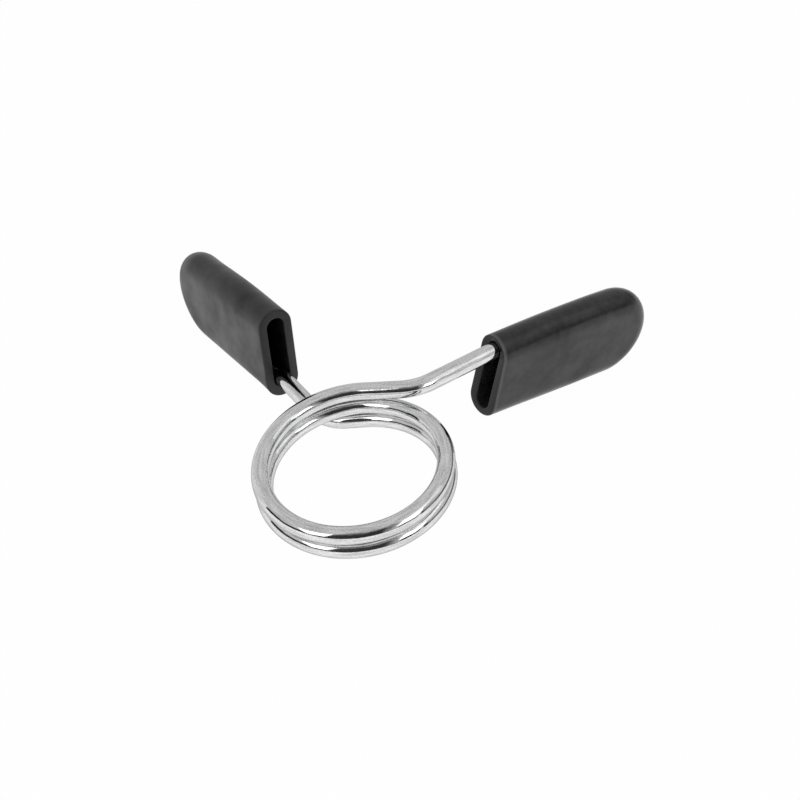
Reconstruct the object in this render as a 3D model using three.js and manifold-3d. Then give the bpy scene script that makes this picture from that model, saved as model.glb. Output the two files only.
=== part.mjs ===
// Spring collar for a 50 mm bar sleeve: a wound wire spring with two crossing arms and a flat grip on each.
// Millimetres and degrees. The coil's axis is Z, its centre is the origin and the arms point towards +Y.
import * as THREE from "three";
import { mergeVertices } from "three/addons/utils/BufferGeometryUtils.js";
import Module from "manifold-3d";

// Wound wire
const boreDiameter = 48;
const wireDiameter = 5.3;
const turnGap = 0.45;
const bendRadius = 14;
const mouthBendRadius = 20;

// Right arm: angle round the coil where it leaves, straight run, outward bend, slope and reach to its grip
const rightLeaveAngle = 94;
const rightRun = 11;
const rightBendAngle = 40.5;
const rightArmSlope = -4.9;
const rightReach = 22.8;

// Left arm: the same sizes, seen with the collar turned over so that its arm lies on the right
const leftLeaveAngle = 84.2;
const leftRun = 6.2;
const leftBendAngle = 50.3;
const leftArmSlope = -3.9;
const leftReach = 17.2;

// Grips: flattened sleeves with an open mouth and a closed round end
const gripWidth = 30.9;
const gripLength = 62.3;
const gripWall = 2.8;
const gripEndWall = 5;
const mouthRound = 0.4;
const mouthSlantAngle = 3.5;
const rightGripSlope = -11.9;
const rightGripTwist = 5.7;
const leftGripSlope = 6.6;
const leftGripTwist = 7.2;

// Hairpin inside each grip
const hairpinEndRoom = 4;
const returnLegLength = 20;

// Fits and clearances
const gripClearance = 0.3;
const swingGap = 0.3;
const swingClearance = 2;
const cutOverrun = 2;

// Angles round the coil: the middle of the wire lies at the back, a full turn and a quarter on from +X
const fullTurnDegrees = 360;
const quarterTurnDegrees = fullTurnDegrees / 4;
const middleAngle = fullTurnDegrees + quarterTurnDegrees;

// Fineness of the facets, as counts
const stepsPerTurn = 48;
const wireSides = 16;
const stepsPerBend = 5;
const stepsPerHairpin = 12;
const roundSteps = 12;
const endSteps = 40;
const mouthRoundSteps = 2;

// Sizes worked out from those above
const wireRadius = wireDiameter / 2;
const coilRadius = boreDiameter / 2 + wireRadius;
const pitch = wireDiameter + turnGap;
const slotThickness = wireDiameter + 2 * gripClearance;
const slotWidth = gripWidth - 2 * gripWall;
const gripThickness = slotThickness + 2 * gripWall;
const hairpinRadius = slotWidth / 2 - gripClearance - wireRadius;
const gripEndRadius = gripWidth / 2;
const gripStraight = gripLength - gripEndRadius;
const legLength = gripStraight - hairpinEndRoom;

// Finishes
const chrome = { color: 0xd8d9db, roughness: 0.08, metalness: 1 };
const vinyl = { color: 0x242425, roughness: 0.45, metalness: 0 };

const wasm = await Module();
wasm.setup();

// A direction from its compass angle about Z, measured from +X, and its slope above the level
function direction(angle, slope) {
  const turn = THREE.MathUtils.degToRad(angle);
  const climb = THREE.MathUtils.degToRad(slope);
  const level = Math.cos(climb);
  return new THREE.Vector3(Math.cos(turn) * level, Math.sin(turn) * level, Math.sin(climb));
}

// Half of the wire, bent as on a bench from the middle of its length outwards. The middle lies at the back of
// the coil. The wire winds one way round and up to where the arm leaves.
class WireHalf {
  constructor() {
    this.points = [];
    this.tangents = [];
  }

  add(point, tangent) {
    this.points.push(point.clone());
    this.tangents.push(tangent.clone().normalize());
  }

  get end() {
    return this.points[this.points.length - 1];
  }

  get heading() {
    return this.tangents[this.tangents.length - 1];
  }

  wind(leaveAngle) {
    const wound = middleAngle - leaveAngle;
    const steps = Math.round((wound * stepsPerTurn) / fullTurnDegrees);
    for (let step = 0; step <= steps; step += 1) {
      const share = step / steps;
      const turn = THREE.MathUtils.degToRad(middleAngle - wound * share);
      const height = (pitch * wound * share) / fullTurnDegrees;
      const point = new THREE.Vector3(coilRadius * Math.cos(turn), coilRadius * Math.sin(turn), height);
      const climb = pitch / (2 * Math.PI);
      this.add(point, new THREE.Vector3(coilRadius * Math.sin(turn), -coilRadius * Math.cos(turn), climb));
    }
  }

  straight(length) {
    this.add(this.end.clone().addScaledVector(this.heading, length), this.heading);
  }

  // Bends in the plane of the present and the new heading, round an arc of the given centreline radius
  bend(target, radius, steps) {
    const from = this.heading.clone();
    const angle = from.angleTo(target);
    const axis = from.clone().cross(target).normalize();
    this.arc(axis, angle, radius, steps);
  }

  arc(axis, angle, radius, steps) {
    const start = this.end.clone();
    const from = this.heading.clone();
    const centre = axis.clone().cross(from).multiplyScalar(radius).add(start);
    const spoke = start.clone().sub(centre);
    for (let step = 1; step <= steps; step += 1) {
      const turned = (angle * step) / steps;
      const point = spoke.clone().applyAxisAngle(axis, turned).add(centre);
      this.add(point, from.clone().applyAxisAngle(axis, turned));
    }
  }
}

// The grip's own axes: along it, across its width and through its thickness
function gripAxes(heading, slope, twist) {
  const along = direction(heading, slope);
  const across = direction(heading, slope + quarterTurnDegrees);
  across.applyAxisAngle(along, THREE.MathUtils.degToRad(twist));
  const through = along.clone().cross(across);
  return { along, across, through };
}

// One side of the collar: the wire from the coil's middle to the hairpin's end, and the grip's seat on it
function buildSide(side) {
  const wire = new WireHalf();
  wire.wind(side.leaveAngle);
  wire.straight(side.run);
  const heading = side.leaveAngle - quarterTurnDegrees + side.bendAngle;
  wire.bend(direction(heading, side.armSlope), bendRadius, stepsPerBend);
  const axes = gripAxes(heading, side.gripSlope, side.gripTwist);
  const mouthBend = wire.heading.angleTo(axes.along);
  const mouthTangent = mouthBendRadius * Math.tan(mouthBend / 2);
  const armStart = wire.points.length - 1;
  wire.straight(side.reach - mouthTangent);
  const legAtMouth = wire.end.clone().addScaledVector(wire.heading, mouthTangent);
  wire.bend(axes.along, mouthBendRadius, stepsPerBend);
  wire.straight(legLength - mouthTangent);
  wire.arc(axes.through.clone().negate(), Math.PI, hairpinRadius, stepsPerHairpin);
  wire.straight(returnLegLength);
  const mouth = legAtMouth.addScaledVector(axes.across, -hairpinRadius);
  return { wire, armStart, axes, mouth };
}

// Rings of points round the wire, carried along it without twisting
function ringsAlong(wire) {
  const normal = new THREE.Vector3(0, 1, 0);
  return wire.points.map((centre, index) => {
    const tangent = wire.tangents[index];
    normal.addScaledVector(tangent, -normal.dot(tangent)).normalize();
    const side = tangent.clone().cross(normal);
    const ring = [];
    for (let corner = 0; corner < wireSides; corner += 1) {
      const turn = (2 * Math.PI * corner) / wireSides;
      const offset = normal.clone().multiplyScalar(wireRadius * Math.cos(turn));
      ring.push(offset.addScaledVector(side, wireRadius * Math.sin(turn)).add(centre));
    }
    return { centre: centre.clone(), ring };
  });
}

// Slides a point along a straight arm until it lies at the given distance from the coil's axis
function slideToSwingCircle(point, heading, radius) {
  const a = heading.x * heading.x + heading.y * heading.y;
  const b = point.x * heading.x + point.y * heading.y;
  const c = point.x * point.x + point.y * point.y - radius * radius;
  const travel = (-b + Math.sqrt(b * b - a * c)) / a;
  return point.clone().addScaledVector(heading, travel);
}

// The end of a wire on the swing circle, which lets the arm swing about the coil's axis past the coil's end
function swingCut(section, heading, radius) {
  return {
    centre: slideToSwingCircle(section.centre, heading, radius),
    ring: section.ring.map((point) => slideToSwingCircle(point, heading, radius)),
  };
}

// A closed tube through a row of rings, with a flat or hollowed face at each end
function tubeThrough(sections) {
  const positions = [];
  const indices = [];
  sections.forEach(({ ring }) => ring.forEach((point) => positions.push(point.x, point.y, point.z)));
  const corner = (section, side) => section * wireSides + (side % wireSides);
  for (let section = 0; section + 1 < sections.length; section += 1) {
    for (let side = 0; side < wireSides; side += 1) {
      const near = corner(section, side);
      const nearNext = corner(section, side + 1);
      const far = corner(section + 1, side);
      const farNext = corner(section + 1, side + 1);
      indices.push(near, nearNext, farNext, near, farNext, far);
    }
  }
  const last = sections.length - 1;
  const startCentre = positions.length / 3;
  positions.push(...sections[0].centre.toArray());
  const endCentre = startCentre + 1;
  positions.push(...sections[last].centre.toArray());
  for (let side = 0; side < wireSides; side += 1) {
    indices.push(startCentre, corner(0, side + 1), corner(0, side));
    indices.push(endCentre, corner(last, side), corner(last, side + 1));
  }
  const geometry = new THREE.BufferGeometry();
  geometry.setAttribute("position", new THREE.Float32BufferAttribute(positions, 3));
  geometry.setIndex(indices);
  geometry.computeVertexNormals();
  return geometry;
}

// The collar turned over about +Y, which swaps its two sides
function turnOver({ centre, ring }) {
  const flip = (point) => new THREE.Vector3(-point.x, point.y, -point.z);
  const flipped = ring.map(flip);
  return { centre: flip(centre), ring: flipped.map((point, index) => flipped[(wireSides - index) % wireSides]) };
}

// The coil's own wire: everything inside the swing circle, from one arm's cut to the other's
function coilSections(side, radius) {
  const rings = ringsAlong(side.wire).slice(0, side.armStart + 1);
  rings.push(swingCut(rings[side.armStart], side.wire.tangents[side.armStart], radius));
  return rings;
}

// An arm's wire: everything outside the swing circle
function armSections(side, radius) {
  const rings = ringsAlong(side.wire).slice(side.armStart);
  rings[0] = swingCut(rings[0], side.wire.tangents[side.armStart], radius);
  return rings;
}

// Smallest gap between neighbouring turns, from each point of the wire to the stretches over half a turn on
function leastTurnGap(points) {
  const halfTurn = Math.round(stepsPerTurn / 2);
  const stretch = new THREE.Line3();
  const nearest = new THREE.Vector3();
  let least = Infinity;
  points.forEach((point, index) => {
    for (let other = index + halfTurn; other + 1 < points.length; other += 1) {
      stretch.set(points[other], points[other + 1]).closestPointToPoint(point, true, nearest);
      least = Math.min(least, point.distanceTo(nearest));
    }
  });
  return least - wireDiameter;
}

function toSolid(geometry) {
  geometry.deleteAttribute("normal");
  geometry.deleteAttribute("uv");
  const merged = mergeVertices(geometry);
  const vertProperties = new Float32Array(merged.attributes.position.array);
  const triVerts = new Uint32Array(merged.index.array);
  return new wasm.Manifold(new wasm.Mesh({ numProp: 3, vertProperties, triVerts }));
}

function toGeometry(solid) {
  const mesh = solid.getMesh();
  const geometry = new THREE.BufferGeometry();
  geometry.setAttribute("position", new THREE.BufferAttribute(new Float32Array(mesh.vertProperties), 3));
  geometry.setIndex(new THREE.BufferAttribute(new Uint32Array(mesh.triVerts), 1));
  geometry.computeVertexNormals();
  return geometry;
}

// A straight sleeve section: two flat sides joined by two half rounds
function stadium(width, thickness) {
  const radius = thickness / 2;
  const flat = width / 2 - radius;
  const shape = new THREE.Shape();
  shape.moveTo(radius, -flat);
  shape.lineTo(radius, flat);
  shape.absarc(0, flat, radius, 0, Math.PI, false);
  shape.lineTo(-radius, -flat);
  shape.absarc(0, -flat, radius, Math.PI, 2 * Math.PI, false);
  return shape;
}

// A round disc with a half-round rim, its axis through the sleeve's thickness, which closes the sleeve's end
function roundEnd(width, thickness, reach) {
  const radius = thickness / 2;
  const flat = width / 2 - radius;
  const profile = [new THREE.Vector2(0, -radius)];
  for (let step = 0; step <= roundSteps; step += 1) {
    const turn = -Math.PI / 2 + (Math.PI * step) / roundSteps;
    profile.push(new THREE.Vector2(flat + radius * Math.cos(turn), radius * Math.sin(turn)));
  }
  profile.push(new THREE.Vector2(0, radius));
  const disc = new THREE.LatheGeometry(profile, endSteps);
  disc.rotateZ(Math.PI / 2);
  disc.scale(1, 1, reach / (width / 2));
  return disc;
}

// Cuts the sleeve's mouth at a slant, so that it ends further back on the side where the wire comes in
function slantMouth(sleeve) {
  const slant = Math.tan(THREE.MathUtils.degToRad(mouthSlantAngle));
  const places = sleeve.attributes.position;
  for (let corner = 0; corner < places.count; corner += 1) {
    if (places.getZ(corner) < gripStraight / 2) {
      places.setZ(corner, places.getZ(corner) + places.getY(corner) * slant);
    }
  }
}

// The sleeve lies along Z here: its mouth at zero, its width along Y and its thickness along X
function gripGeometry() {
  const outerSleeve = new THREE.ExtrudeGeometry(stadium(gripWidth, gripThickness), {
    depth: gripStraight - mouthRound,
    curveSegments: roundSteps,
    bevelThickness: mouthRound,
    bevelSize: mouthRound,
    bevelOffset: -mouthRound,
    bevelSegments: mouthRoundSteps,
  });
  outerSleeve.translate(0, 0, mouthRound);
  slantMouth(outerSleeve);
  const outerEnd = roundEnd(gripWidth, gripThickness, gripEndRadius);
  outerEnd.translate(0, 0, gripStraight);
  const slot = new THREE.ExtrudeGeometry(stadium(slotWidth, slotThickness), {
    depth: gripStraight + cutOverrun,
    curveSegments: roundSteps,
    bevelEnabled: false,
  });
  slot.translate(0, 0, -cutOverrun);
  const slotEnd = roundEnd(slotWidth, slotThickness, gripEndRadius - gripEndWall);
  slotEnd.translate(0, 0, gripStraight);
  const body = toSolid(outerSleeve).add(toSolid(outerEnd));
  const hollow = toSolid(slot).add(toSolid(slotEnd));
  return toGeometry(body.subtract(hollow));
}

function namedMesh(name, geometry, finish) {
  const mesh = new THREE.Mesh(geometry, new THREE.MeshStandardMaterial(finish));
  mesh.name = name;
  return mesh;
}

function gripMesh(name, side) {
  const mesh = namedMesh(name, gripGeometry(), vinyl);
  const { along, across, through } = side.axes;
  mesh.quaternion.setFromRotationMatrix(new THREE.Matrix4().makeBasis(through.clone().negate(), across, along));
  mesh.position.copy(side.mouth);
  return mesh;
}

// Both sides are worked out as right-hand ones
const right = buildSide({
  leaveAngle: rightLeaveAngle,
  run: rightRun,
  bendAngle: rightBendAngle,
  armSlope: rightArmSlope,
  reach: rightReach,
  gripSlope: rightGripSlope,
  gripTwist: rightGripTwist,
});
const left = buildSide({
  leaveAngle: leftLeaveAngle,
  run: leftRun,
  bendAngle: leftBendAngle,
  armSlope: leftArmSlope,
  reach: leftReach,
  gripSlope: leftGripSlope,
  gripTwist: leftGripTwist,
});

// The swing circle clears the outermost point of both outward bends
const bendEnds = [right, left].map(({ wire, armStart }) => Math.hypot(wire.points[armStart].x, wire.points[armStart].y));
const swingRadius = Math.max(...bendEnds) + swingClearance;

const leftCoil = coilSections(left, swingRadius).map(turnOver);
const rightCoil = coilSections(right, swingRadius);
const coil = [...leftCoil.slice(1).reverse(), ...rightCoil];
const turnGapMeasured = leastTurnGap(coil.map(({ centre }) => centre));
console.log(`least gap between the coil's turns: ${turnGapMeasured.toFixed(3)} mm`);

const group = new THREE.Group();
group.add(namedMesh("spring_coil", tubeThrough(coil), chrome));

const rightSide = new THREE.Group();
rightSide.add(namedMesh("right_arm", tubeThrough(armSections(right, swingRadius + swingGap)), chrome));
rightSide.add(gripMesh("right_grip", right));
group.add(rightSide);

const leftSide = new THREE.Group();
leftSide.rotation.y = Math.PI;
leftSide.add(namedMesh("left_arm", tubeThrough(armSections(left, swingRadius + swingGap)), chrome));
leftSide.add(gripMesh("left_grip", left));
group.add(leftSide);

export default group;
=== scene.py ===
import math

import bmesh
import bpy
from mathutils import Matrix, Vector


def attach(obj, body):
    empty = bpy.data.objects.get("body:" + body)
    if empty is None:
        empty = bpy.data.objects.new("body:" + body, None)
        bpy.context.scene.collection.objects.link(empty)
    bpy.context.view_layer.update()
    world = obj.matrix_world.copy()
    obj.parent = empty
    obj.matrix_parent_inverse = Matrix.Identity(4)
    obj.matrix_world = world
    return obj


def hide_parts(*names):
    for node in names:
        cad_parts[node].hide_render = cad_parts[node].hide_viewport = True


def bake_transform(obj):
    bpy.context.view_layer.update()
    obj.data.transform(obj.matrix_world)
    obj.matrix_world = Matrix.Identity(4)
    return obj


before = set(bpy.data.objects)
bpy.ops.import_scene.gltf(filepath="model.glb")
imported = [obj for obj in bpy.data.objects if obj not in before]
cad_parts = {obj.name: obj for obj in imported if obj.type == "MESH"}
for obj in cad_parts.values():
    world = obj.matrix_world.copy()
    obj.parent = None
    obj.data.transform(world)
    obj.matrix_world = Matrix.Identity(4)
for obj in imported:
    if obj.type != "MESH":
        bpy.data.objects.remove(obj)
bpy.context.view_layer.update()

# The view: the collar lies on a white table and is seen from about 39 cm away, from in front and
# above and a little from its right, with the picture tilted. The coil's middle lies left of and
# below the middle of the picture.
picture_width = 800
focal_pixels = 1352.3
coil_middle_pixels = Vector((354.50, 470.27))
viewing_distance = 0.38820
nearest_seen = 0.01
view_azimuth = math.radians(17.45)
view_elevation = math.radians(43.61)
view_tilt = math.radians(-10.62)
level_back = Vector((math.sin(view_azimuth), -math.cos(view_azimuth), 0))
view_back = level_back * math.cos(view_elevation) + Vector((0, 0, math.sin(view_elevation)))
level_right = Vector((math.cos(view_azimuth), math.sin(view_azimuth), 0))
level_up = view_back.cross(level_right)
view_right = level_right * math.cos(view_tilt) + level_up * math.sin(view_tilt)
view_up = view_back.cross(view_right)
metres_per_pixel = viewing_distance / focal_pixels
coil_offset = (coil_middle_pixels - Vector((1, 1)) * picture_width / 2) * metres_per_pixel
camera_data = bpy.data.cameras.new("front_view")
camera_data.lens = camera_data.sensor_width * focal_pixels / picture_width
camera_data.clip_start = nearest_seen
camera = bpy.data.objects.new("front_view", camera_data)
bpy.context.scene.collection.objects.link(camera)
camera_turn = Matrix((view_right, view_up, view_back)).transposed().to_4x4()
camera_place = view_back * viewing_distance - view_right * coil_offset.x + view_up * coil_offset.y
camera.matrix_world = Matrix.Translation(camera_place) @ camera_turn
bpy.context.scene.camera = camera
bpy.context.scene.view_settings.view_transform = "Standard"

# Right half of the spring: from the middle of the wire at the back of the coil, one turn round and
# up, the crossing arm, the outward bend and the hairpin inside the grip. Hard drawn steel wire,
# bent cold, with a bright chrome plating.
wire_radius = 0.00265
coil_radius = 0.02665
coil_pitch = 0.00575
bend_radius = 0.014
mouth_bend_radius = 0.020
hairpin_radius = 0.0097
leg_length = 0.04285
return_leg_length = 0.020
middle_angle = 450
wire_sides = 48


def direction(angle, slope):
    level = math.cos(math.radians(slope))
    turn = math.radians(angle)
    return Vector((math.cos(turn) * level, math.sin(turn) * level, math.sin(math.radians(slope))))


class SpringHalf:
    """Half of the wire, bent from its middle outwards.

    It holds points, headings and the share of the arm's swing that the wire follows at each point.
    """

    def __init__(self):
        self.points = []
        self.headings = []
        self.swing_shares = []

    def add(self, point, heading, swing_share=1.0):
        self.points.append(point.copy())
        self.headings.append(heading.normalized())
        self.swing_shares.append(swing_share)

    def wind(self, leave_angle, step=1.25):
        wound = middle_angle - leave_angle
        steps = round(wound / step)
        climb = Vector((0, 0, coil_pitch / (2 * math.pi)))
        for n in range(steps + 1):
            share = n / steps
            turn = math.radians(middle_angle - wound * share)
            out = Vector((math.cos(turn), math.sin(turn), 0))
            rise = Vector((0, 0, coil_pitch * wound * share / 360))
            forward = Vector((out.y, -out.x, 0)) * coil_radius
            self.add(out * coil_radius + rise, forward + climb, share)

    def straight(self, length, steps=12):
        start = self.points[-1].copy()
        heading = self.headings[-1].copy()
        for n in range(1, steps + 1):
            self.add(start + heading * length * n / steps, heading)

    def arc(self, axis, angle, radius, steps):
        start = self.points[-1].copy()
        heading = self.headings[-1].copy()
        centre = start + axis.cross(heading) * radius
        for n in range(1, steps + 1):
            turn = Matrix.Rotation(angle * n / steps, 3, axis)
            self.add(centre + turn @ (start - centre), turn @ heading)

    def bend(self, target, radius, steps=20):
        heading = self.headings[-1]
        self.arc(heading.cross(target).normalized(), heading.angle(target), radius, steps)


def bend_half(leave_angle, run, outward_bend, arm_slope, reach, grip_slope, grip_twist):
    """The bent wire and the seat of its grip.

    The seat is the middle of the grip's mouth and the axes through, across and along the grip.
    """
    wire = SpringHalf()
    wire.wind(leave_angle)
    wire.straight(run)
    heading = leave_angle - 90 + outward_bend
    wire.bend(direction(heading, arm_slope), bend_radius)
    along = direction(heading, grip_slope)
    across = Matrix.Rotation(math.radians(grip_twist), 3, along) @ direction(heading, grip_slope + 90)
    through = along.cross(across)
    mouth_tangent = mouth_bend_radius * math.tan(wire.headings[-1].angle(along) / 2)
    wire.straight(reach - mouth_tangent)
    leg_at_mouth = wire.points[-1] + wire.headings[-1] * mouth_tangent
    wire.bend(along, mouth_bend_radius)
    wire.straight(leg_length - mouth_tangent)
    wire.arc(-through, math.pi, hairpin_radius, steps=48)
    wire.straight(return_leg_length)
    return wire, (leg_at_mouth - across * hairpin_radius, through, across, along)


def turned_over(vector):
    return Vector((-vector.x, vector.y, -vector.z))


def wire_piece(name, wire, over=False):
    """A round tube along the wire, with a UV map in metres: along the wire and round it."""
    vertices = []
    shares = []
    lengths = [0.0]
    normal = Vector((0, 1, 0))
    for n, point in enumerate(wire.points):
        heading = wire.headings[n]
        normal = (normal - heading * normal.dot(heading)).normalized()
        side = heading.cross(normal)
        if n:
            lengths.append(lengths[-1] + (point - wire.points[n - 1]).length)
        for k in range(wire_sides):
            turn = math.tau * k / wire_sides
            vertices.append(point + (normal * math.cos(turn) + side * math.sin(turn)) * wire_radius)
            shares.append(wire.swing_shares[n])
    last = len(wire.points) - 1
    if over:
        vertices = [turned_over(v) for v in vertices]
    faces = []
    corners = []
    side_width = math.tau * wire_radius / wire_sides
    for n in range(last):
        for k in range(wire_sides):
            ring = [(n, k), (n, k + 1), (n + 1, k + 1), (n + 1, k)]
            if over:
                ring.reverse()
            faces.append([row * wire_sides + spot % wire_sides for row, spot in ring])
            corners.extend((lengths[row], spot * side_width) for row, spot in ring)
    cut_face = [last * wire_sides + k for k in range(wire_sides)]
    if over:
        cut_face.reverse()
    faces.append(cut_face)
    corners.extend((lengths[last], 0.0) for _ in cut_face)
    mesh = bpy.data.meshes.new(name)
    mesh.from_pydata([tuple(v) for v in vertices], [], faces)
    for n, corner in enumerate(mesh.uv_layers.new(name="metres").data):
        corner.uv = corners[n]
    mesh.shade_smooth()
    piece = bpy.data.objects.new(name, mesh)
    bpy.context.scene.collection.objects.link(piece)
    return piece, shares


class Finish:
    """A material made of nodes, with the textures that the collar's finishes share."""

    def __init__(self, name):
        self.material = bpy.data.materials.new(name)
        self.material.use_nodes = True
        self.nodes = self.material.node_tree.nodes
        self.links = self.material.node_tree.links
        self.shader = self.nodes["Principled BSDF"]
        self.surface = self.nodes["Material Output"].inputs["Surface"]

    def feed(self, socket, value):
        self.links.new(value, self.shader.inputs[socket])

    def noise(self, place, scale, detail):
        texture = self.nodes.new("ShaderNodeTexNoise")
        texture.inputs["Scale"].default_value = scale
        texture.inputs["Detail"].default_value = detail
        self.links.new(place, texture.inputs["Vector"])
        return texture.outputs["Fac"]

    def spread(self, value, low, high, start=0.3, end=0.7):
        """The value from start to end, spread from low to high and held beyond them."""
        ramp = self.nodes.new("ShaderNodeMapRange")
        numbers = {"From Min": start, "From Max": end, "To Min": low, "To Max": high}
        for socket, number in numbers.items():
            ramp.inputs[socket].default_value = number
        self.links.new(value, ramp.inputs["Value"])
        return ramp.outputs["Result"]

    def two_tones(self, value, dark, dark_end, light, light_start):
        """One colour up to dark_end and the other from light_start, with a blend between them."""
        tones = self.nodes.new("ShaderNodeValToRGB")
        lower, upper = tones.color_ramp.elements
        lower.position, lower.color = dark_end, (*dark, 1)
        upper.position, upper.color = light_start, (*light, 1)
        self.links.new(value, tones.inputs["Fac"])
        return tones.outputs["Color"]

    def relief(self, height, strength, depth, under=None):
        """Fine relief of that depth in metres, laid over the relief under it."""
        bump = self.nodes.new("ShaderNodeBump")
        bump.inputs["Strength"].default_value = strength
        bump.inputs["Distance"].default_value = depth
        self.links.new(height, bump.inputs["Height"])
        if under:
            self.links.new(under, bump.inputs["Normal"])
        return bump.outputs["Normal"]


def chrome_plating():
    """Bright chrome on drawn wire: faint lines along the wire, soft patches and fine pits."""
    finish = Finish("chrome_plating")
    finish.shader.inputs["Metallic"].default_value = 1
    finish.shader.inputs["Specular Tint"].default_value = (0.5, 0.5, 0.5, 1)
    metres = finish.nodes.new("ShaderNodeUVMap")
    metres.uv_map = "metres"

    def drawn_noise(along, around, detail):
        """Noise with that many waves in a metre along the wire and in a metre round it."""
        stretch = finish.nodes.new("ShaderNodeMapping")
        stretch.inputs["Scale"].default_value = (along, around, 1)
        finish.links.new(metres.outputs["UV"], stretch.inputs["Vector"])
        return finish.noise(stretch.outputs["Vector"], 1, detail)

    patches = drawn_noise(along=220, around=420, detail=3)
    streaks = drawn_noise(along=140, around=1500, detail=3)
    lines = drawn_noise(along=160, around=5200, detail=2)
    waves = drawn_noise(along=190, around=260, detail=1)
    pits = drawn_noise(along=2300, around=2600, detail=2)
    speckled = finish.nodes.new("ShaderNodeMix")
    speckled.inputs["Factor"].default_value = 0.5
    finish.links.new(streaks, speckled.inputs["A"])
    finish.links.new(pits, speckled.inputs["B"])
    grey_chrome, white_chrome = (0.55, 0.553, 0.56), (0.88, 0.88, 0.882)
    finish.feed("Base Color", finish.two_tones(speckled.outputs["Result"], grey_chrome, 0.4,
                                               white_chrome, 0.6))
    finish.feed("Roughness", finish.spread(patches, 0.11, 0.05))
    coarse = finish.relief(waves, strength=0.5, depth=0.00012)
    drawn = finish.relief(streaks, strength=1, depth=0.000016, under=coarse)
    finish.feed("Normal", finish.relief(lines, strength=0.35, depth=0.000004, under=drawn))
    return finish.material


def fix_wire(piece):
    """Bakes the wire's place into its points."""
    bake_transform(piece)


right_wire, right_seat = bend_half(
    leave_angle=94,
    run=0.011,
    outward_bend=40.5,
    arm_slope=-4.9,
    reach=0.0228,
    grip_slope=-11.9,
    grip_twist=5.7,
)
chrome = chrome_plating()
right_spring, right_shares = wire_piece("right_half_of_spring", right_wire)
right_spring.data.materials.append(chrome)
fix_wire(right_spring)
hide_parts("spring_coil", "right_arm")

# Left half of the spring: the other half of the same chrome plated wire. It winds the other way
# from the middle, down and under the strands above it, and its arm is bent by the same tools with
# the collar turned over.
left_wire, left_seat = bend_half(
    leave_angle=84.2,
    run=0.0062,
    outward_bend=50.3,
    arm_slope=-3.9,
    reach=0.0172,
    grip_slope=6.6,
    grip_twist=7.2,
)
left_spring, left_shares = wire_piece("left_half_of_spring", left_wire, over=True)
left_spring.data.materials.append(chrome)
fix_wire(left_spring)
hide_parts("spring_coil", "left_arm")

# Right grip: a flattened sleeve of soft black vinyl with a rounded rim round its open mouth and a
# round closed end, moulded in one piece and pushed over the hairpin. The wire draws its mouth in.
grip_width = 0.0309
grip_length = 0.0623
grip_wall = 0.0028
grip_end_wall = 0.005
grip_fit = 0.0003
rim_round = 0.0004
slot_round = 0.0003
seam_weld = 0.00001
mouth_slant = math.tan(math.radians(3.5))
grip_half_thickness = wire_radius + grip_fit + grip_wall
slot_half_thickness = wire_radius + grip_fit
flat_half_width = grip_width / 2 - grip_half_thickness
grip_straight = grip_length - grip_width / 2
right_mouth_drawn_at_wire = 0.00085
right_mouth_drawn_opposite = 0.0001
right_mouth_reach = 0.024
right_swell = 0.00058
right_swell_middle = 0.038
right_swell_reach = 0.034
right_droop = 0.0003
right_droop_start = 0.04
cut_depth = 0.00022
cut_through = 0.00018
cut_across = 0.00027


def grip_ring(half_thickness, height, end_share=0.0, end_stretch=1.0, give=None):
    """One closed ring of the sleeve at that height: two half rounds joined by two flats.

    end_share runs from 0, where the closed end starts, to 1 at its tip. give moves each point as
    the soft sleeve has given way there.
    """
    sweep = math.pi / 2 * end_share
    out = Vector((0, math.cos(sweep), math.sin(sweep)))
    round_steps, flat_steps = 16, 14
    points = []
    for side in (1, -1):
        outward = Vector((0, out.y * side, out.z))
        edge = outward * flat_half_width
        for n in range(round_steps + 1):
            turn = math.pi * (n / round_steps - 0.5) * side
            sideways = Vector((half_thickness * math.sin(turn), 0, 0))
            points.append(edge + outward * half_thickness * math.cos(turn) + sideways)
        for n in range(1, flat_steps):
            share = 1 - 2 * n / flat_steps
            points.append(Vector((half_thickness * side, edge.y * share, edge.z)))
    slant = mouth_slant * (1 - height / grip_straight)
    if give:
        points = [give(p, height) for p in points]
    return [Vector((p.x, p.y, height + p.z * end_stretch + p.y * slant)) for p in points]


def grip_rings(give):
    """All the rings, from the slot's closed end out to the mouth, round its rim and to the tip.

    Each comes with its share of the rim's painted line, which is a painted highlight on the right
    grip and painted shade on the left. It also comes with its share of the mouth's cut face, which is
    dull and whose grey is painted shade on the right grip and painted light on the left.
    """
    end_steps, rim_steps, length_steps = 24, 6, 40
    slot_stretch = (grip_width / 2 - grip_end_wall) / (flat_half_width + slot_half_thickness)
    rings = []
    for n in range(end_steps):
        ring = grip_ring(slot_half_thickness, grip_straight, 1 - n / end_steps, slot_stretch)
        rings.append((ring, 0, 0))
    for n in range(length_steps):
        height = grip_straight + (slot_round - grip_straight) * n / length_steps
        rings.append((grip_ring(slot_half_thickness, height), 0, 0))
    for n in range(rim_steps + 1):
        turn = math.pi / 2 * n / rim_steps
        inner = slot_half_thickness + slot_round * (1 - math.cos(turn))
        ring = grip_ring(inner, slot_round * (1 - math.sin(turn)))
        rings.append((ring, 0, math.sin(turn)))
    # Round the outer rim the painted rim line comes in and the painted grey of the cut face goes out.
    for n in range(rim_steps + 1):
        turn = math.pi / 2 * n / rim_steps
        outer = grip_half_thickness - rim_round * (1 - math.sin(turn))
        ring = grip_ring(outer, rim_round * (1 - math.cos(turn)), give=give)
        rings.append((ring, math.sin(turn), math.cos(turn)))
    for n in range(1, length_steps + 1):
        height = rim_round + (grip_straight - rim_round) * n / length_steps
        rings.append((grip_ring(grip_half_thickness, height, give=give), 0, 0))
    for n in range(1, end_steps + 1):
        ring = grip_ring(grip_half_thickness, grip_straight, n / end_steps, give=give)
        rings.append((ring, 0, 0))
    return rings


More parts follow.
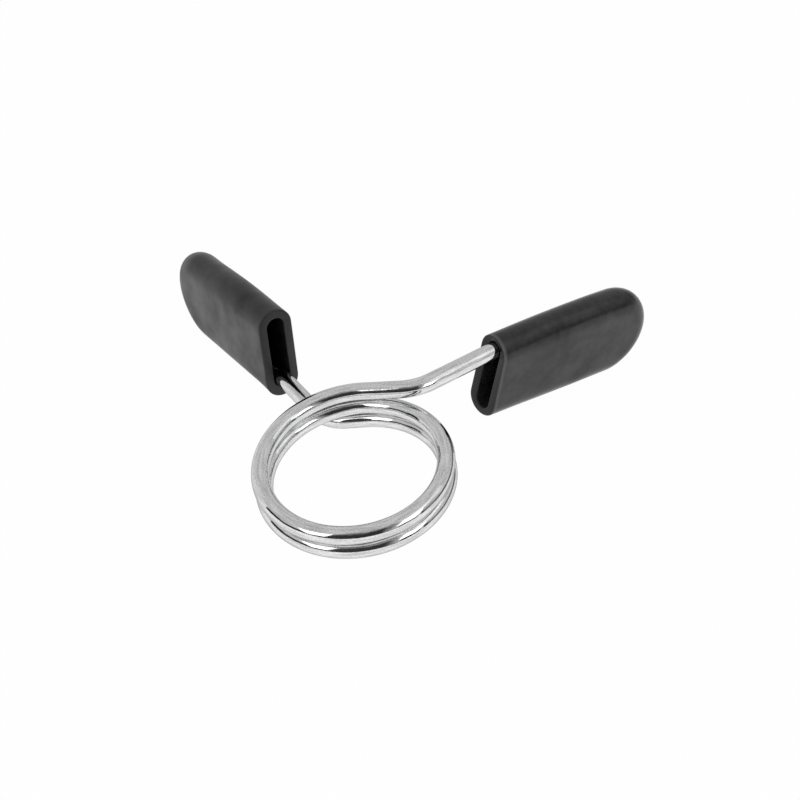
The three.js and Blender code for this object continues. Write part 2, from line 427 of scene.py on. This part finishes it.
def grip_piece(name, seat, give, over=False):
    """The sleeve in its place on the hairpin, welded along the seams of its two closed ends."""
    mouth, through, across, along = seat
    rings = grip_rings(give)
    count = len(rings[0][0])
    vertices = []
    painted_rim_line = []
    dull_painted_face = []
    for ring, ring_painted_rim_line, ring_dull_painted_face in rings:
        for point in ring:
            place = mouth - through * point.x + across * point.y + along * point.z
            vertices.append(tuple(turned_over(place) if over else place))
            painted_rim_line.append(ring_painted_rim_line)
            dull_painted_face.append(ring_dull_painted_face)
    faces = []
    for n in range(len(rings) - 1):
        here, beyond = n * count, (n + 1) * count
        for k in range(count):
            beside = (k + 1) % count
            faces.append([here + k, here + beside, beyond + beside, beyond + k])
    mesh = bpy.data.meshes.new(name)
    mesh.from_pydata(vertices, [], faces)
    mesh.attributes.new("painted_rim_line", "FLOAT", "POINT").data.foreach_set("value", painted_rim_line)
    mesh.attributes.new("dull_painted_face", "FLOAT", "POINT").data.foreach_set("value", dull_painted_face)
    piece = bpy.data.objects.new(name, mesh)
    bpy.context.scene.collection.objects.link(piece)
    work = bmesh.new()
    work.from_mesh(mesh)
    bmesh.ops.remove_doubles(work, verts=work.verts, dist=seam_weld)
    bmesh.ops.recalc_face_normals(work, faces=work.faces)
    work.to_mesh(mesh)
    work.free()
    mesh.shade_smooth()
    return piece


def black_vinyl(name, grey, painted_rim_line_grey, painted_face_grey, face_sheen, sheen, rough, smooth):
    """Soft black vinyl with a fine moulded grain and a cloudy sheen.

    The rim of the mouth gets a painted line of its own grey: a painted highlight where it is lighter
    than the vinyl and painted shade where it is darker. The mouth's cut face gets its own duller
    sheen and its own grey, which is painted light and shade.
    """
    finish = Finish(name)
    place = finish.nodes.new("ShaderNodeTexCoord").outputs["Object"]
    clouds = finish.noise(place, scale=85, detail=5)
    smears = finish.noise(place, scale=420, detail=4)
    grain = finish.noise(place, scale=3200, detail=2)
    dark_grey = (grey * 0.7, grey * 0.7, grey * 0.72)
    light_grey = (grey * 1.5, grey * 1.5, grey * 1.52)
    vinyl = finish.two_tones(smears, dark_grey, 0.35, light_grey, 0.68)
    # The rim's mask: along it the vinyl's colour is painted over with a grey of its own. A lighter
    # grey is a painted highlight and a darker one is painted shade.
    edge = finish.nodes.new("ShaderNodeAttribute")
    edge.attribute_name = "painted_rim_line"
    # The cut face's mask: it dulls the sheen there, and the grey painted over the face there is
    # painted light and shade.
    dull_painted_face_mask = finish.nodes.new("ShaderNodeAttribute")
    dull_painted_face_mask.attribute_name = "dull_painted_face"

    def painted_over(colour, share, paint_grey):
        layer = finish.nodes.new("ShaderNodeMix")
        layer.data_type = "RGBA"
        layer.inputs["B"].default_value = (paint_grey, paint_grey, paint_grey, 1)
        finish.links.new(share, layer.inputs["Factor"])
        finish.links.new(colour, layer.inputs["A"])
        return layer.outputs["Result"]

    # Painted light and shade over the vinyl: first the cut face's grey, then the rim's painted line.
    painted_face_colour = painted_over(vinyl, dull_painted_face_mask.outputs["Fac"], painted_face_grey)
    finish.feed("Base Color", painted_over(painted_face_colour, edge.outputs["Fac"], painted_rim_line_grey))
    finish.feed("Roughness", finish.spread(clouds, rough, smooth))
    shine = finish.nodes.new("ShaderNodeMix")
    shine.inputs["B"].default_value = face_sheen
    finish.links.new(dull_painted_face_mask.outputs["Fac"], shine.inputs["Factor"])
    finish.links.new(finish.spread(clouds, *sheen), shine.inputs["A"])
    finish.feed("Specular IOR Level", shine.outputs["Result"])
    finish.feed("Normal", finish.relief(grain, strength=0.5, depth=0.00003))
    return finish.material


def hump(height, middle, reach):
    """A smooth rise to 1 at the middle and back to 0 at that reach on either side."""
    return max(0, 1 - ((height - middle) / reach) ** 2) ** 2


def right_give(point, height):
    """The wire draws the mouth in, the sleeve swells round the hairpin, its end droops and the
    mouth is cut a little unevenly."""
    across, through = point.y / (grip_width / 2), point.x / grip_half_thickness
    mouth_share = max(0, 1 - height / right_mouth_reach) ** 2
    drawn = (right_mouth_drawn_at_wire if across > 0 else right_mouth_drawn_opposite) * mouth_share
    swell = right_swell * hump(height, right_swell_middle, right_swell_reach)
    past_droop = max(0, height + point.z - right_droop_start)
    droop = right_droop * past_droop / (grip_length - right_droop_start)
    cut = cut_depth + cut_through * through + cut_across * across * (1 - through)
    return point + Vector((0, (swell - drawn) * across - droop, -cut * (1 - height / grip_straight)))


right_sleeve = grip_piece("right_vinyl_grip", right_seat, right_give)
right_sleeve.data.materials.append(black_vinyl(
    "black_vinyl",
    grey=0.016,
    # painted highlight: a light line along the rim of the mouth
    painted_rim_line_grey=0.085,
    # painted shade on the mouth's cut face
    painted_face_grey=0.003,
    face_sheen=0.24,
    sheen=(0.24, 0.5),
    rough=0.34,
    smooth=0.22,
))
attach(right_sleeve, "right_handle")
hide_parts("right_grip")

# Left grip: the same vinyl sleeve from the same mould, pushed over the left hairpin. Its surface
# is duller, the wire pushes one side of its mouth out, and the other side swells.
left_mouth_pushed_out = 0.0009
left_mouth_reach = 0.009
left_swell = 0.0008
left_swell_middle = 0.022
left_swell_reach = 0.024
left_end_swell = 0.00075


def left_give(point, height):
    """The side of the mouth at the wire goes out, and the other side swells at the hairpin and
    at the closed end."""
    across = point.y / (grip_width / 2)
    if across > 0:
        swell = left_mouth_pushed_out * max(0, 1 - height / left_mouth_reach) ** 2
    else:
        swell = left_swell * hump(height, left_swell_middle, left_swell_reach)
        swell += left_end_swell * point.z / (grip_width / 2)
    return point + Vector((0, swell * across, 0))


left_sleeve = grip_piece("left_vinyl_grip", left_seat, left_give, over=True)
left_sleeve.data.materials.append(black_vinyl(
    "dull_black_vinyl",
    grey=0.007,
    # painted shade: a dark line along the rim of the mouth
    painted_rim_line_grey=0.004,
    # painted light on the mouth's cut face
    painted_face_grey=0.012,
    face_sheen=0.45,
    sheen=(0.31, 0.62),
    rough=0.5,
    smooth=0.34,
))
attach(left_sleeve, "left_handle")
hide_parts("left_grip")

# The table: a plain matt white top. The collar rests on it with the far edge of each grip and the
# front of its coil, so the top is laid just under the lowest point of each.
table_radius = 3.0
table_rim_points = 96
table_clearance = 0.0001
settling_rounds = 12


def points_of(piece):
    return [Vector(v.co) for v in piece.data.vertices]


coil_front = [p for p in points_of(right_spring) + points_of(left_spring) if p.y < 0]
resting_points = [points_of(right_sleeve), points_of(left_sleeve), coil_front]
table_normal = Vector((0, 0, 1))
for _ in range(settling_rounds):
    feet = [min(points, key=table_normal.dot) for points in resting_points]
    table_normal = (feet[1] - feet[0]).cross(feet[2] - feet[0]).normalized()
    if table_normal.z < 0:
        table_normal.negate()
table_middle = sum(feet, Vector()) / 3 - table_normal * table_clearance
table_side = table_normal.orthogonal().normalized()
table_front = table_normal.cross(table_side)
table_rim = []
for n in range(table_rim_points):
    turn = math.tau * n / table_rim_points
    outward = table_side * math.cos(turn) + table_front * math.sin(turn)
    table_rim.append(tuple(table_middle + outward * table_radius))
table_mesh = bpy.data.meshes.new("table_top")
table_mesh.from_pydata(table_rim, [], [list(range(table_rim_points))])
table = bpy.data.objects.new("table_top", table_mesh)
bpy.context.scene.collection.objects.link(table)


def white_table_top():
    """Matt white. Seen directly or mirrored in the chrome it is nearly as white as paper, with a
    faint shadow."""
    table_white = 0.8
    paper_white_share = 0.98
    finish = Finish("white_table_top")
    finish.nodes.remove(finish.shader)
    matt = finish.nodes.new("ShaderNodeBsdfDiffuse")
    matt.inputs["Color"].default_value = (table_white, table_white, table_white, 1)
    white = finish.nodes.new("ShaderNodeEmission")
    white.inputs["Strength"].default_value = 1
    path = finish.nodes.new("ShaderNodeLightPath")

    def either(one, other):
        larger = finish.nodes.new("ShaderNodeMath")
        larger.operation = "MAXIMUM"
        finish.links.new(one, larger.inputs[0])
        finish.links.new(other, larger.inputs[1])
        return larger.outputs["Value"]

    seen = either(path.outputs["Is Camera Ray"], path.outputs["Is Glossy Ray"])
    seen = either(seen, path.outputs["Is Transmission Ray"])
    share = finish.nodes.new("ShaderNodeMath")
    share.operation = "MULTIPLY"
    share.inputs[1].default_value = paper_white_share
    finish.links.new(seen, share.inputs[0])
    mix = finish.nodes.new("ShaderNodeMixShader")
    finish.links.new(share.outputs["Value"], mix.inputs["Fac"])
    finish.links.new(matt.outputs["BSDF"], mix.inputs[1])
    finish.links.new(white.outputs["Emission"], mix.inputs[2])
    finish.links.new(mix.outputs["Shader"], finish.surface)
    return finish.material


table_mesh.materials.append(white_table_top())

# The light: a pale room with a leaning soft box at each side of the camera and a weaker one high
# on the right. A black cloth in front, black and grey screens and stands and a white wall stand
# round the table. Only mirrors and gloss show these.
room_light = 0.65
world = bpy.data.worlds.new("pale_room")
world.use_nodes = True
room_colour = (room_light, room_light, room_light, 1)
world.node_tree.nodes["Background"].inputs["Color"].default_value = room_colour
bpy.context.scene.world = world
towards_camera = (view_back - table_normal * view_back.dot(table_normal)).normalized()
to_the_right = table_normal.cross(towards_camera)


def around_table(azimuth, elevation, distance):
    """A place that far from the coil, in degrees right of the camera and above the table."""
    turn, rise = math.radians(azimuth), math.radians(elevation)
    level = towards_camera * math.cos(turn) + to_the_right * math.sin(turn)
    return (level * math.cos(rise) + table_normal * math.sin(rise)) * distance


def soft_box(name, azimuths, elevations, brightness, distance=0.5, lean=0):
    """A lamp that faces the coil and fills those angles, turned by its lean in degrees."""
    place = around_table(sum(azimuths) / 2, sum(elevations) / 2, distance)
    light = bpy.data.lights.new(name, "AREA")
    light.shape = "RECTANGLE"
    light.size = 2 * distance * math.tan(math.radians(azimuths[1] - azimuths[0]) / 2)
    light.size_y = 2 * distance * math.tan(math.radians(elevations[1] - elevations[0]) / 2)
    light.energy = brightness * math.pi * light.size * light.size_y
    lamp = bpy.data.objects.new(name, light)
    across = table_normal.cross(place).normalized()
    upright = place.normalized().cross(across)
    turn = Matrix((across, upright, place.normalized())).transposed().to_4x4()
    leaning = Matrix.Rotation(math.radians(lean), 4, "Z")
    lamp.matrix_world = Matrix.Translation(place) @ turn @ leaning
    bpy.context.scene.collection.objects.link(lamp)


soft_box("left_soft_box", (-54, -24), (12, 42), brightness=1.8, lean=22)
soft_box("right_soft_box", (39, 61), (14, 42), brightness=1.8, distance=0.34, lean=-18)
soft_box("high_right_soft_box", (66, 98), (36, 58), brightness=0.4)


def fading_cloth(name, tone, fade_start, fold_depth):
    """A cloth of that tone that fades, in folds, to the light of the room."""
    finish = Finish(name)
    finish.nodes.remove(finish.shader)
    height = finish.nodes.new("ShaderNodeAttribute")
    height.attribute_name = "height"
    place = finish.nodes.new("ShaderNodeTexCoord").outputs["Object"]
    hang = finish.nodes.new("ShaderNodeMath")
    hang.operation = "MULTIPLY_ADD"
    hang.inputs[1].default_value = fold_depth
    finish.links.new(finish.noise(place, scale=38, detail=3), hang.inputs[0])
    finish.links.new(height.outputs["Fac"], hang.inputs[2])
    fade = finish.spread(hang.outputs["Value"], tone, room_light,
                         start=fade_start + fold_depth / 2, end=1 + fold_depth / 2)
    glow = finish.nodes.new("ShaderNodeEmission")
    finish.links.new(fade, glow.inputs["Strength"])
    finish.links.new(glow.outputs["Emission"], finish.surface)
    return finish.material


def screen(name, azimuths, elevations, distance, tone, fade_start, fold_depth=0.0, right_fade=1.0):
    """A screen or a cloth bent round the table, which fades to the light of the room.

    fade_start is the share of its height where the fade begins, and right_fade that of its length
    to the right.
    """
    around_steps, up_steps = 72, 16
    points, heights, faces = [], [], []
    for n in range(around_steps + 1):
        length_share = n / around_steps
        azimuth = azimuths[0] + (azimuths[1] - azimuths[0]) * length_share
        faded = 0
        if length_share > right_fade:
            past = (length_share - right_fade) / (1 - right_fade)
            faded = fade_start + (1 - fade_start) * past
        for m in range(up_steps + 1):
            share = m / up_steps
            elevation = elevations[0] + (elevations[1] - elevations[0]) * share
            points.append(tuple(around_table(azimuth, elevation, distance)))
            heights.append(max(share, faded))
    for n in range(around_steps):
        for m in range(up_steps):
            corner = n * (up_steps + 1) + m
            faces.append([corner, corner + 1, corner + up_steps + 2, corner + up_steps + 1])
    mesh = bpy.data.meshes.new(name)
    mesh.from_pydata(points, [], faces)
    mesh.attributes.new("height", "FLOAT", "POINT").data.foreach_set("value", heights)
    mesh.materials.append(fading_cloth(name, tone, fade_start, fold_depth))
    cloth = bpy.data.objects.new(name, mesh)
    bpy.context.scene.collection.objects.link(cloth)
    cloth.visible_camera = False
    cloth.visible_diffuse = False
    cloth.visible_transmission = False
    cloth.visible_shadow = False


screen("black_cloth_in_front", (-31, 38), (4, 68), distance=0.45, tone=0.04, fade_start=0.55,
       fold_depth=0.8, right_fade=0.76)
screen("low_black_screen", (-92, 60), (0, 20), distance=0.6, tone=0.02, fade_start=0.6)
screen("low_grey_screen", (68, 150), (0, 20), distance=0.6, tone=0.15, fade_start=0.6, right_fade=0.8)
screen("left_black_stand", (-91, -76), (0, 24), distance=0.58, tone=0.02, fade_start=0.7)
screen("right_black_stand", (64, 79), (0, 24), distance=1.5, tone=0.02, fade_start=0.7)
screen("white_wall_behind", (-180, -92), (0, 28), distance=0.6, tone=0.88, fade_start=0.3)
